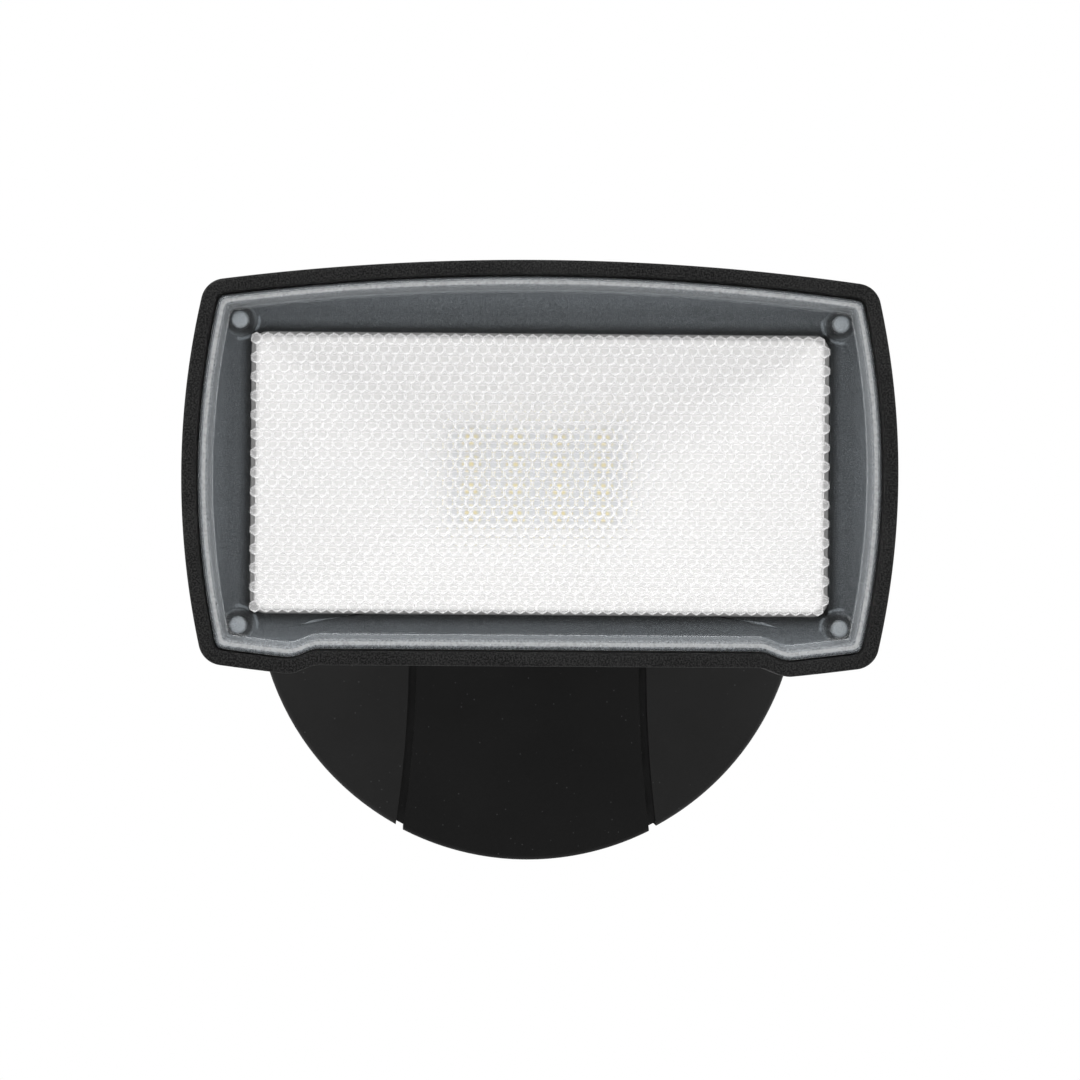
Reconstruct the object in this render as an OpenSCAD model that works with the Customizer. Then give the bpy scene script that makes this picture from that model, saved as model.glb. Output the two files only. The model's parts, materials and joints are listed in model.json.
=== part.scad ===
// Wall floodlight: a round base, a two-axis friction knuckle and one LED head.
// The origin is the centre of the base's back face. +X is right, +Z is up and the light faces -Y.
// "Out" distances are measured from the wall towards the front, so out = -y.

/* [Base] */
// Diameter of the round base
base_d = 133; // [125:1:165]
// How far the edge of the base stands off the wall
base_edge = 30; // [28:1:40]
// How much the middle of its front bulges past the edge
base_crown = 8; // [5:0.5:12]
// Wall thickness of the base shell
base_wall = 3.4; // [3:0.1:4.5]
// Half width of the middle panel at its waist
spine_half_w = 27.05; // [24:0.5:34]
// Height of the waist, seen from the centre of the base
spine_waist_z = -17; // [-25:1:0]
// Radius of the panel's flared sides
spine_flare_r = 290; // [200:5:500]
// Width of the grooves beside the panel
groove_w = 1.9; // [1:0.1:3]
// How deep the panel sits in the shell
spine_depth = 1.8; // [1.2:0.1:2]
// How deep it sits in the side of the base
spine_side_depth = 0.9; // [0.7:0.1:1.5]
// How far the panel stands proud of the shell
spine_proud = 0.3; // [0.1:0.1:0.8]

/* [Wall fixing] */
// Distance between the two screws of the wall box
box_spacing = 88.9; // [70:0.1:95]
// Radius of the strap's holes for those screws
box_hole_r = 2.4; // [2:0.1:3]
// Thickness of the steel mounting strap
strap_t = 2; // [1.5:0.1:3]
// Height of the mounting strap
strap_h = 18; // [16:1:24]
// How far inside the base's edge the canopy screws stand
canopy_screw_inset = 14.5; // [13:0.5:18]

/* [Knuckle] */
// Height of the head's centre and of the knuckle above the centre of the base
head_z = 25; // [20:1:30]
// Distance from the wall to the pan axis
pan_out = 76; // [74:1:90]
// Distance from the pan axis to the tilt axis
tilt_reach = 18; // [18:0.5:24]
// Radius of the knuckle's bolts
bolt_r = 3; // [2.5:0.1:4]
// Running clearance round the bolts
bolt_clearance = 0.05; // [0.02:0.01:0.09]
// Half height of the pan eye and half width of the tilt eye
eye_half = 8; // [7:0.5:10]
// Thickness of the friction washers
washer_t = 0.6; // [0.4:0.1:1]
// Thickness of the fork's and the head's ears
ear_t = 5.4; // [4:0.2:8]

/* [Head] */
// Width of the head
head_w = 160; // [140:1:195]
// Height of the head between the tops of its upper and lower arcs
head_h = 95.6; // [84:0.5:115]
// Radius of the upper and lower edges
edge_arc_r = 536; // [400:1:900]
// Radius of the bowed sides
side_arc_r = 180; // [150:1:400]
// Radius of the outer corners
corner_r = 5.5; // [3:0.5:8]
// Half width of the raised middle of the lower edge
notch_half_w = 49.2; // [35:0.1:56]
// Height of that raised middle above the lower arc's lowest point
notch_h = 4.9; // [3:0.1:7]
// Width of the rim's front face
rim_w = 3.2; // [2.5:0.1:5]
// Distance from the tilt axis to the outer face of the head's floor
ear_reach = 20.4; // [19:0.2:26]
// Thickness of the head's floor
head_floor = 3.5; // [2.5:0.1:5]
// Depth of the rim flange, front to back
flange_depth = 18; // [16:0.5:24]
// Number of cooling fins on each side of the knuckle
fin_count = 4; // [2:1:5]
// Distance between the fins
fin_pitch = 9; // [7:0.5:10]

/* [Optics] */
// Width of the reflector's opening
reflector_w = 127.2; // [106:0.1:130]
// Height of the reflector's opening
reflector_h = 60.9; // [50:0.1:64]
// Depth of the reflector
reflector_depth = 25.2; // [18:0.2:34]
// Width of its small end
window_w = 41; // [34:0.5:48]
// Height of its small end
window_h = 22.8; // [18:0.2:28]
// Distance between LED columns
led_pitch_x = 10; // [6:0.25:11]
// Distance between LED rows
led_pitch_z = 5.75; // [4:0.25:6]
// Thickness of the lens
lens_t = 2.5; // [2:0.1:4]
// Height of the bead round the lens's edge
bead_h = 1.4; // [0.6:0.1:2]
// Gap between the lens and the rim
lens_gap = 0.5; // [0.3:0.1:1]
// Radius of the lens screws
lens_screw_r = 1.95; // [1.5:0.05:2.5]

/* [Driver] */
// Width of the driver's case
driver_w = 66; // [54:1:70]
// Height of the driver's case
driver_h = 38; // [30:1:40]
// Depth of the driver's case
driver_depth = 18; // [14:0.5:20]

/* [Hidden] */
$fn = 96;

fit = 0.1;                // seat clearance between pieces that don't move
thread_gap = 0.03;        // between a screw and its thread
sliver = 0.01;            // how far a cut runs past a face
arc_fn = 240;             // facets of the long arcs
small_fn = 32;            // facets of small roundings

// Base
base_r = base_d / 2;
base_out = base_edge + base_crown;
gasket_t = 2;
gasket_w = 5;
dome_r = (base_r * base_r + base_crown * base_crown) / (2 * base_crown);
pad_half_w = 18;
pad_half_h = 20;
pad_out = base_out - 10;

// Wall fixing
strap_half_w = base_r - base_wall - 7;
canopy_x = base_r - canopy_screw_inset;
canopy_screw_r = 2;
canopy_head_r = 4;
canopy_head_h = 3;
canopy_boss_r = 6.2;
canopy_boss_out = strap_t + 2;
canopy_seat_out = dome_out(canopy_x) - 7;
plug_out = dome_out(canopy_x + canopy_head_r) - 0.4;
ground_x = 22;

// Neck and knuckle
tilt_out = pan_out + tilt_reach;
washer_r = 8;
pan_eye_r = 9;
tilt_eye_r = 8.5;
fork_r = 10;
ear_r = 9;
ear_in = eye_half + washer_t + fit;
ear_outer = ear_in + ear_t;
bore_r = bolt_r + bolt_clearance;
hex_r = bolt_r * 1.85;
hex_h = bolt_r * 1.4;
yoke_web_half_w = 6.5;
neck_out = pan_out - pan_eye_r - 1;
neck_half_w = 11.5;
foot_half_w = 17;
foot_half_h = 21;
foot_t = 5;
neck_screw_x = 12;
neck_screw_z = 15;
neck_screw_r = 2;
neck_screw_len = 16;
wire_r = 4;

// Head, from its back to its front
floor_back = tilt_out + ear_reach;
floor_front = floor_back + head_floor;
pad_t = 0.5;
board_t = 1.6;
board_back = floor_front + pad_t;
board_front = board_back + board_t;
reflector_front = board_front + reflector_depth;
lens_back = reflector_front + 0.2;
lens_front = lens_back + lens_t;
bead_top = lens_front + bead_h;
rim_front = bead_top + 0.7;
flange_back = rim_front - flange_depth;
ledge_out = rim_front - 12;
fin_back = floor_back - 8.4;
fin_t = 2;
fin_half_h = reflector_h / 2 - 1.8;
fin_first_x = ear_outer + 4;
tray_wall = 3;
tray_mouth_r = 6;
mouth_w = reflector_w - 9.2;
mouth_h = reflector_h - 2.6;
mouth_step = 0.8;
tray_floor_w = reflector_w - 23.2;
tray_floor_h = reflector_h - 8.6;

// Optics
reflector_wall = 1;
reflector_corner_r = 2.5;
lens_inset = rim_w + lens_gap;
skirt_w = 2;
bead_w = 2.6;
seal_t = 1;
post_x = reflector_w / 2 + 3.6;
post_z = reflector_h / 2 + 3.65;
post_r = 3.65;
board_w = window_w + 19;
board_h = window_h + 11.2;
board_screw_x = board_w / 2 - 4;
board_screw_z = board_h / 2 - 3;
board_screw_r = 1.5;
led_size = [3.5, 2.8, 0.7];
leds = 4;

// Driver
driver_back = 5;
driver_wall = 1.5;
driver_top_z = -12;
driver_z = driver_top_z - driver_h / 2;
driver_lug_x = driver_w / 2 + 4;
driver_lug_z = -22;

// How far the crowned front of the base stands out at a distance from its centre
function dome_out(r) = base_out - dome_r + sqrt(dome_r * dome_r - r * r);

// Extrudes a flat shape, drawn as seen from the front, between two distances from the wall
module layer(from, to) {
  rotate([90, 0, 0]) translate([0, 0, from]) linear_extrude(height = to - from) children();
}

// The same round the head's centre
module head_layer(from, to) {
  translate([0, 0, head_z]) layer(from, to) children();
}

// A round pin, post or drill that points away from the wall
module stud(r, from, to, x = 0, z = 0) {
  translate([x, -from, z]) rotate([90, 0, 0]) cylinder(r = r, h = to - from);
}

// A hexagon head or nut along its own Z axis
module hexagon(r, h) {
  cylinder(r = r, h = h, $fn = 6);
}

// Puts a copy at each of the four corners
module four_corners(x, z) {
  for (side = [-1, 1], level = [-1, 1]) translate([side * x, 0, level * z]) children();
}

// Puts a copy to the left and to the right
module both_sides(x) {
  for (side = [-1, 1]) translate([side * x, 0, 0]) children();
}

module rounded_box(w, h, r) {
  offset(r = r, $fn = small_fn) square([w - 2 * r, h - 2 * r], center = true);
}

// ---- Base ----

// The crowned round form of the base, with its front and its side moved out by these amounts
module base_form(front, side) {
  intersection() {
    stud(base_r + side, gasket_t, base_out + 5);
    translate([0, dome_r - base_out, 0]) sphere(r = dome_r + front, $fn = 200);
  }
}

// The middle panel's outline: a waist with flared sides, made wider by grow on each side
module spine_outline(grow) {
  difference() {
    square([4 * spine_half_w, 2 * base_r + 10], center = true);
    for (side = [-1, 1])
      translate([side * (spine_half_w + grow + spine_flare_r), spine_waist_z])
        circle(r = spine_flare_r, $fn = arc_fn);
  }
}

module base_shell() {
  color([0.13, 0.13, 0.13]) difference() {
    union() {
      difference() {
        base_form(0, 0);
        intersection() {
          base_form(-base_wall, -base_wall);
          stud(base_r - base_wall, 0, base_out);
        }
        stud(base_r - base_wall, 0, gasket_t + 1);
      }
      intersection() {
        base_form(-sliver, -sliver);
        union() {
          translate([0, 0, head_z]) layer(pad_out, base_out)
            square([2 * pad_half_w, 2 * pad_half_h], center = true);
          both_sides(canopy_x) stud(canopy_boss_r, canopy_boss_out, base_out);
          both_sides(driver_lug_x)
            stud(3.6, driver_back + driver_depth, base_out, 0, driver_lug_z);
        }
      }
    }
    difference() {
      layer(0, base_out + 5) spine_outline(groove_w);
      base_form(-spine_depth, -spine_side_depth);
      stud(base_r - spine_side_depth, 0, gasket_t + 1);
    }
    both_sides(canopy_x) {
      stud(canopy_screw_r + 0.2, 0, base_out);
      stud(canopy_head_r + 0.4, canopy_seat_out, base_out + 5);
    }
    translate([0, 0, head_z]) {
      stud(wire_r + 1.5, 0, base_out + 5);
      four_corners(neck_screw_x, neck_screw_z) stud(neck_screw_r + 0.2, 0, base_out + 5);
    }
    both_sides(driver_lug_x)
      stud(1.45, 0, driver_back + driver_depth + 6, 0, driver_lug_z);
  }
}

module spine_cover() {
  color([0.15, 0.15, 0.15]) difference() {
    intersection() {
      base_form(spine_proud, spine_proud);
      layer(gasket_t, base_out + 5) spine_outline(0);
    }
    base_form(-spine_depth + fit, -spine_side_depth + fit);
    stud(base_r - spine_side_depth + fit, 0, gasket_t + 1);
    translate([0, 0, head_z]) {
      stud(wire_r + 1.5, 0, base_out + 5);
      four_corners(neck_screw_x, neck_screw_z) stud(neck_screw_r + 0.2, 0, base_out + 5);
    }
  }
}

module base_gasket() {
  color([0.05, 0.05, 0.05]) difference() {
    stud(base_r - 0.8, 0, gasket_t);
    stud(base_r - 0.8 - gasket_w, -1, gasket_t + 1);
  }
}

module mounting_strap() {
  color([0.7, 0.7, 0.72]) difference() {
    layer(0, strap_t) square([2 * strap_half_w, strap_h], center = true);
    both_sides(box_spacing / 2) stud(box_hole_r, -1, strap_t + 1);
    both_sides(canopy_x) stud(canopy_screw_r + thread_gap, -1, strap_t + 1);
    stud(canopy_screw_r + thread_gap, -1, strap_t + 1, ground_x);
    stud(5, -1, strap_t + 1);
  }
}

module canopy_screws() {
  color([0.6, 0.6, 0.6]) both_sides(canopy_x) difference() {
    union() {
      stud(canopy_screw_r, 0.2, canopy_seat_out + 1);
      stud(canopy_head_r, canopy_seat_out, canopy_seat_out + canopy_head_h);
    }
    translate([0, -canopy_seat_out - 1.2, 0]) rotate([90, 0, 0]) hexagon(1.9, canopy_head_h);
  }
}

module screw_plugs() {
  color([0.08, 0.08, 0.08]) both_sides(canopy_x)
    stud(canopy_head_r + 0.2, canopy_seat_out + canopy_head_h + fit, plug_out);
}

module ground_screw() {
  color([0.1, 0.45, 0.2]) union() {
    stud(canopy_screw_r, 0.2, strap_t + 1, ground_x);
    stud(4.6, strap_t, strap_t + 0.8, ground_x);
    translate([ground_x, -strap_t, 0]) rotate([90, 0, 0]) hexagon(3.8, 3.4);
  }
}

// ---- Neck ----

module neck_arm() {
  color([0.14, 0.14, 0.14]) translate([0, 0, head_z]) difference() {
    union() {
      hull() {
        layer(base_out - 6, base_out + foot_t - 3)
          rounded_box(2 * foot_half_w, 2 * foot_half_h, 7);
        layer(base_out + foot_t, base_out + foot_t + 2)
          rounded_box(2 * foot_half_w - 4, 2 * foot_half_h - 4, 6);
      }
      hull() {
        layer(base_out + foot_t, base_out + foot_t + 1)
          rounded_box(2 * foot_half_w - 5, 2 * foot_half_h - 5, 6);
        layer(neck_out - 6, neck_out)
          rounded_box(2 * neck_half_w, 2 * ear_outer, 2.5);
      }
      for (side = [-1, 1]) mirror([0, 0, side < 0 ? 1 : 0]) translate([0, 0, ear_in]) {
        translate([0, -pan_out, 0]) cylinder(r = fork_r, h = ear_t);
        translate([-fork_r, -pan_out, 0]) cube([2 * fork_r, pan_out - neck_out + 4, ear_t]);
      }
    }
    translate([0, dome_r - base_out, -head_z])
      sphere(r = dome_r + spine_proud + fit, $fn = 200);
    translate([0, -pan_out, -ear_outer - 1]) cylinder(r = bore_r, h = 2 * ear_outer + 2);
    stud(wire_r, base_out - 8, neck_out + 1);
    four_corners(neck_screw_x, neck_screw_z)
      stud(neck_screw_r + thread_gap, base_out - 8, pad_out + neck_screw_len + 0.5);
  }
}

module neck_screws() {
  color([0.6, 0.6, 0.6]) translate([0, 0, head_z])
    four_corners(neck_screw_x, neck_screw_z) difference() {
      union() {
        stud(neck_screw_r, pad_out - 1, pad_out + neck_screw_len);
        stud(2 * neck_screw_r, pad_out - 2.6, pad_out);
      }
      translate([0, -pad_out + 3.6, 0]) rotate([90, 0, 0]) hexagon(1.7, 2.4);
    }
}

module base_grommet() {
  color([0.06, 0.06, 0.06]) translate([0, 0, head_z]) difference() {
    union() {
      stud(wire_r + 1.5 - fit, pad_out - 1, base_out - 2.5);
      stud(wire_r + 3.6, pad_out - 2, pad_out);
    }
    stud(wire_r - 1, pad_out - 3, base_out + 1);
  }
}

// ---- Knuckle ----

module pan_bolt() {
  color([0.6, 0.6, 0.6]) translate([0, -pan_out, head_z]) union() {
    translate([0, 0, -ear_outer - hex_h - 1]) cylinder(r = bolt_r, h = 2 * ear_outer + hex_h + 2);
    translate([0, 0, ear_outer]) hexagon(hex_r, hex_h);
  }
}

module pan_nut() {
  color([0.6, 0.6, 0.6]) translate([0, -pan_out, head_z - ear_outer - hex_h]) difference() {
    hexagon(hex_r, hex_h);
    translate([0, 0, -1]) cylinder(r = bolt_r + thread_gap, h = hex_h + 2);
  }
}

module knuckle_yoke() {
  color([0.14, 0.14, 0.14]) translate([0, 0, head_z]) difference() {
    union() {
      translate([0, -pan_out, -eye_half]) cylinder(r = pan_eye_r, h = 2 * eye_half);
      translate([-eye_half, -tilt_out, 0]) rotate([0, 90, 0])
        cylinder(r = tilt_eye_r, h = 2 * eye_half);
      layer(pan_out, tilt_out) square([2 * yoke_web_half_w, 2 * eye_half], center = true);
    }
    translate([0, -pan_out, -eye_half - 1]) cylinder(r = bore_r, h = 2 * eye_half + 2);
    translate([-eye_half - 1, -tilt_out, 0]) rotate([0, 90, 0])
      cylinder(r = bore_r, h = 2 * eye_half + 2);
  }
}

module washer() {
  difference() {
    cylinder(r = washer_r, h = washer_t);
    translate([0, 0, -1]) cylinder(r = bore_r + 0.05, h = washer_t + 2);
  }
}

module pan_washers() {
  color([0.75, 0.7, 0.6]) for (level = [-eye_half - washer_t, eye_half])
    translate([0, -pan_out, head_z + level]) washer();
}

module tilt_washers() {
  color([0.75, 0.7, 0.6]) for (side = [-eye_half - washer_t, eye_half])
    translate([side, -tilt_out, head_z]) rotate([0, 90, 0]) washer();
}

module tilt_bolt() {
  color([0.6, 0.6, 0.6]) translate([0, -tilt_out, head_z]) rotate([0, 90, 0]) union() {
    translate([0, 0, -ear_outer]) cylinder(r = bolt_r, h = 2 * ear_outer + hex_h + 1);
    translate([0, 0, -ear_outer - hex_h]) hexagon(hex_r, hex_h);
  }
}

module tilt_nut() {
  color([0.6, 0.6, 0.6]) translate([ear_outer, -tilt_out, head_z]) rotate([0, 90, 0])
    difference() {
      hexagon(hex_r, hex_h);
      translate([0, 0, -1]) cylinder(r = bolt_r + thread_gap, h = hex_h + 2);
    }
}

// ---- Head ----

// Four long arcs that meet at the corners, with the lower edge stepped up in the middle
module head_arcs() {
  difference() {
    intersection() {
      translate([0, head_h / 2 - edge_arc_r]) circle(r = edge_arc_r, $fn = arc_fn);
      translate([0, edge_arc_r - head_h / 2]) circle(r = edge_arc_r, $fn = arc_fn);
      translate([head_w / 2 - side_arc_r, 0]) circle(r = side_arc_r, $fn = arc_fn);
      translate([side_arc_r - head_w / 2, 0]) circle(r = side_arc_r, $fn = arc_fn);
    }
    translate([0, -head_h / 2]) polygon([
      [-notch_half_w - 8, -4], [-notch_half_w - 6.5, notch_h - 2.6], [-notch_half_w, notch_h],
      [notch_half_w, notch_h], [notch_half_w + 6.5, notch_h - 2.6], [notch_half_w + 8, -4]
    ]);
  }
}

// The head's outline with its corners rounded, made smaller by inset
module head_outline(inset) {
  offset(delta = -inset) offset(r = corner_r, $fn = 40) offset(delta = -corner_r)
    offset(delta = corner_r) offset(r = -corner_r, $fn = 40) head_arcs();
}

module cooling_fins() {
  run = floor_front - fin_back;
  for (side = [-1, 1], i = [0 : fin_count - 1])
    translate([side * (fin_first_x + i * fin_pitch) - fin_t / 2, 0, head_z])
      rotate([90, 0, 90]) linear_extrude(height = fin_t) polygon([
        [-fin_back, -fin_half_h + 4], [-fin_back, fin_half_h - 4],
        [-fin_back - run, fin_half_h], [-fin_back - run, -fin_half_h]
      ]);
}

module head_housing() {
  color([0.13, 0.13, 0.13]) difference() {
    union() {
      head_layer(flange_back, rim_front) head_outline(0);
      hull() {
        head_layer(flange_back, flange_back + 1)
          rounded_box(mouth_w + 2 * tray_wall, mouth_h + 2 * tray_wall, tray_mouth_r + 2);
        head_layer(floor_back, floor_back + 1)
          rounded_box(tray_floor_w, tray_floor_h, tray_mouth_r);
      }
      cooling_fins();
      for (x = [-ear_outer, ear_in]) {
        translate([x, -tilt_out, head_z]) rotate([0, 90, 0]) cylinder(r = ear_r, h = ear_t);
        translate([x, -floor_back - 2, head_z - ear_r])
          cube([ear_t, floor_back + 2 - tilt_out, 2 * ear_r]);
      }
    }
    head_layer(ledge_out, rim_front + 1) head_outline(rim_w);
    head_layer(flange_back + 1, rim_front)
      rounded_box(mouth_w + mouth_step, mouth_h + mouth_step, tray_mouth_r);
    hull() {
      head_layer(flange_back + 1, flange_back + 2) rounded_box(mouth_w, mouth_h, tray_mouth_r);
      head_layer(floor_front, floor_front + sliver)
        rounded_box(tray_floor_w - 2 * tray_wall, tray_floor_h - 2 * tray_wall, 4);
    }
    translate([0, 0, head_z]) {
      four_corners(post_x, post_z) stud(lens_screw_r + 0.3, flange_back - 1, ledge_out + 1);
      four_corners(board_screw_x, board_screw_z)
        stud(board_screw_r + thread_gap, floor_front - 2.8, floor_front + 1);
      stud(3, floor_back - 1, floor_front + 1, 0, -board_h / 2 - 3.6);
      stud(1.6, floor_back - 1, floor_front + 1, fin_first_x + fin_pitch / 2, 0);
    }
    translate([-ear_outer - 1, -tilt_out, head_z]) rotate([0, 90, 0])
      cylinder(r = bore_r, h = 2 * ear_outer + 2);
  }
}

module lens() {
  color([0.8, 0.85, 0.88, 0.4]) difference() {
    union() {
      difference() {
        head_layer(ledge_out + seal_t, bead_top) head_outline(lens_inset);
        head_layer(ledge_out, lens_back) head_outline(lens_inset + skirt_w);
        head_layer(lens_front, bead_top + 1) head_outline(lens_inset + bead_w);
      }
      translate([0, 0, head_z]) four_corners(post_x, post_z)
        stud(post_r, ledge_out + fit, lens_back + 1);
    }
    translate([0, 0, head_z]) four_corners(post_x, post_z)
      stud(lens_screw_r + thread_gap, ledge_out, lens_back - 1.4);
  }
}

module lens_gasket() {
  color([0.04, 0.04, 0.04]) difference() {
    head_layer(ledge_out, ledge_out + seal_t) head_outline(rim_w + fit);
    head_layer(ledge_out - 1, ledge_out + seal_t + 1) head_outline(lens_inset + skirt_w);
  }
}

module lens_screws() {
  color([0.7, 0.7, 0.7]) translate([0, 0, head_z]) four_corners(post_x, post_z) difference() {
    union() {
      stud(lens_screw_r, flange_back - 1, lens_back - 1.8);
      stud(post_r + fit, flange_back - 2.6, flange_back);
    }
    translate([0, -flange_back + 3.6, 0]) rotate([90, 0, 0]) hexagon(1.7, 2.4);
  }
}

module reflector() {
  wide = [reflector_w, reflector_h];
  small = [window_w, window_h];
  wall = 2 * reflector_wall;
  color([0.95, 0.95, 0.95]) difference() {
    hull() {
      head_layer(reflector_front - 1, reflector_front)
        rounded_box(wide.x + wall, wide.y + wall, reflector_corner_r + reflector_wall);
      head_layer(board_front, board_front + 1)
        rounded_box(small.x + wall, small.y + wall, reflector_corner_r);
    }
    hull() {
      head_layer(reflector_front, reflector_front + sliver)
        rounded_box(wide.x, wide.y, reflector_corner_r);
      head_layer(board_front - sliver, board_front + 0.8)
        rounded_box(small.x, small.y, 1.5);
    }
  }
}

module led_board() {
  color([0.9, 0.92, 0.95]) translate([0, 0, head_z]) difference() {
    layer(board_back, board_front) square([board_w, board_h], center = true);
    four_corners(board_screw_x, board_screw_z)
      stud(board_screw_r + 0.2, board_back - 1, board_front + 1);
  }
}

module led_chips() {
  mid = (leds - 1) / 2;
  color([0.95, 0.85, 0.4]) translate([0, 0, head_z])
    for (column = [0 : leds - 1], row = [0 : leds - 1])
      translate([(column - mid) * led_pitch_x, 0, (row - mid) * led_pitch_z])
        layer(board_front, board_front + led_size.z)
          square([led_size.x, led_size.y], center = true);
}

module thermal_pad() {
  color([0.55, 0.6, 0.65]) translate([0, 0, head_z]) difference() {
    layer(floor_front, board_back) square([board_w, board_h], center = true);
    four_corners(board_screw_x, board_screw_z)
      stud(board_screw_r + 0.2, floor_front - 1, board_back + 1);
  }
}

module board_screws() {
  color([0.7, 0.7, 0.7]) translate([0, 0, head_z])
    four_corners(board_screw_x, board_screw_z) union() {
      stud(board_screw_r, floor_front - 2.4, board_front + 1);
      stud(2.5, board_front, board_front + 1.6);
    }
}

module head_grommet() {
  color([0.06, 0.06, 0.06]) translate([0, 0, head_z - board_h / 2 - 3.6]) difference() {
    union() {
      stud(3 - thread_gap, floor_back - 1, floor_front);
      stud(4.4, floor_back - 1.6, floor_back);
    }
    stud(1.6, floor_back - 3, floor_front + 1);
  }
}

module breather_plug() {
  color([0.08, 0.08, 0.08]) translate([0, 0, head_z]) union() {
    stud(1.6 - thread_gap, floor_back - 1, floor_front - 0.5, fin_first_x + fin_pitch / 2);
    stud(2.9, floor_back - 2, floor_back, fin_first_x + fin_pitch / 2);
  }
}

// ---- Driver ----

module driver_case() {
  w = driver_w - 2 * driver_wall;
  h = driver_h - 2 * driver_wall;
  color([0.1, 0.1, 0.1]) difference() {
    union() {
      translate([0, 0, driver_z]) layer(driver_back + driver_wall, driver_back + driver_depth)
        square([driver_w, driver_h], center = true);
      layer(driver_back + driver_depth - 2, driver_back + driver_depth) union() {
        translate([0, driver_lug_z]) square([2 * driver_lug_x, 8], center = true);
        for (side = [-1, 1]) translate([side * driver_lug_x, driver_lug_z]) circle(r = 4);
      }
    }
    translate([0, 0, driver_z]) layer(driver_back, driver_back + driver_depth - driver_wall)
      square([w, h], center = true);
    both_sides(driver_lug_x)
      stud(1.7, driver_back, driver_back + driver_depth + 1, 0, driver_lug_z);
  }
}

module driver_lid() {
  color([0.12, 0.12, 0.12]) translate([0, 0, driver_z])
    layer(driver_back, driver_back + driver_wall) square([driver_w, driver_h], center = true);
}

module driver_board() {
  back = driver_back + driver_wall + 1.5;
  front = driver_back + driver_depth - driver_wall;
  color([0.1, 0.4, 0.2]) translate([0, 0, driver_z]) union() {
    layer(back, back + 1.6)
      square([driver_w - 2 * driver_wall - 1, driver_h - 2 * driver_wall - 1], center = true);
    layer(back, front - 1) translate([-driver_w / 5, 0]) square([14, 16], center = true);
    stud(4.5, back, front - 1.5, driver_w / 8, 4);
    stud(3.5, back, front - 3, driver_w / 4, -5);
  }
}

module driver_screws() {
  color([0.6, 0.6, 0.6]) both_sides(driver_lug_x) union() {
    stud(1.4, driver_back + driver_depth - 3, driver_back + driver_depth + 5, 0, driver_lug_z);
    stud(2.6, driver_back + driver_depth - 3.8, driver_back + driver_depth - 2, 0, driver_lug_z);
  }
}

module terminal_block() {
  color([0.85, 0.85, 0.8]) difference() {
    translate([0, 0, driver_top_z + 5]) layer(driver_back + 3, driver_back + 14)
      square([30, 10], center = true);
    for (x = [-10, 0, 10])
      stud(2.4, driver_back + 2, driver_back + 9, x, driver_top_z + 5);
  }
}

base_shell();
spine_cover();
neck_arm();
neck_screws();
base_grommet();
base_gasket();
mounting_strap();
canopy_screws();
screw_plugs();
ground_screw();
driver_case();
driver_lid();
driver_board();
driver_screws();
terminal_block();
pan_bolt();
pan_nut();
knuckle_yoke();
pan_washers();
tilt_washers();
head_housing();
lens();
lens_gasket();
lens_screws();
reflector();
led_board();
led_chips();
thermal_pad();
board_screws();
tilt_bolt();
tilt_nut();
head_grommet();
breather_plug();
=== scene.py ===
"""The looks of a wall floodlight: an LED head on a two-axis knuckle and a round base.

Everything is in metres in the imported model's own frame: the wall is at y = 0, the light faces -Y
and +Z is up. "Out" is the distance from the wall, so out = -y.
"""

import json
import math

import bmesh
import bpy
from mathutils import Matrix, Vector


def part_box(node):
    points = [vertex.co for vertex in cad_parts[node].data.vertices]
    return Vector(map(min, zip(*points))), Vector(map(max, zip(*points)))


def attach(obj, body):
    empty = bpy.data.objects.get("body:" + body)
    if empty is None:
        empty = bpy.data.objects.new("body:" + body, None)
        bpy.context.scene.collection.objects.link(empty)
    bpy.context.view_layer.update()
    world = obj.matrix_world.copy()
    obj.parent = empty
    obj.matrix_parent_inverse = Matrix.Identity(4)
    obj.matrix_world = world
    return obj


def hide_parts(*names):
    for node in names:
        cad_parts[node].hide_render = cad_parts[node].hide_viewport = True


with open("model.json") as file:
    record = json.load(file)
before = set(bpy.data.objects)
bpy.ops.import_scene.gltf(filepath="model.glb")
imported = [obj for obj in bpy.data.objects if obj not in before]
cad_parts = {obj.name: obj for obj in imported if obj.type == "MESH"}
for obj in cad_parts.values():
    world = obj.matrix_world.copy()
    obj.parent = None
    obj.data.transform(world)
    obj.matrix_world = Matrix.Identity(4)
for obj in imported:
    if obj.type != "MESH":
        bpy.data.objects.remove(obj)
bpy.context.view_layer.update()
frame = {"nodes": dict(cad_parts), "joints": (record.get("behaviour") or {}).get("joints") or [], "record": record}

MM = 0.001
SCREW_HEAD_H = 2.6 * MM
SCREW_HEAD_R = 3.75 * MM
GASKET_INSET = 0.8 * MM

# ---- Places and sizes that come from the frame ----

JOINTS = {joint["name"]: joint for joint in frame["joints"]}
TILT_OUT = -JOINTS["head_tilt"]["pos_m"][1]
HEAD_Z = JOINTS["head_tilt"]["pos_m"][2]


def out_range(node):
    """The nearest and farthest distance of a CAD node from the wall."""
    low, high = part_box(node)
    return -high[1], -low[1]


def width_of(node):
    low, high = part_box(node)
    return high[0] - low[0]


def height_of(node):
    low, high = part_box(node)
    return high[2] - low[2]


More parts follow.
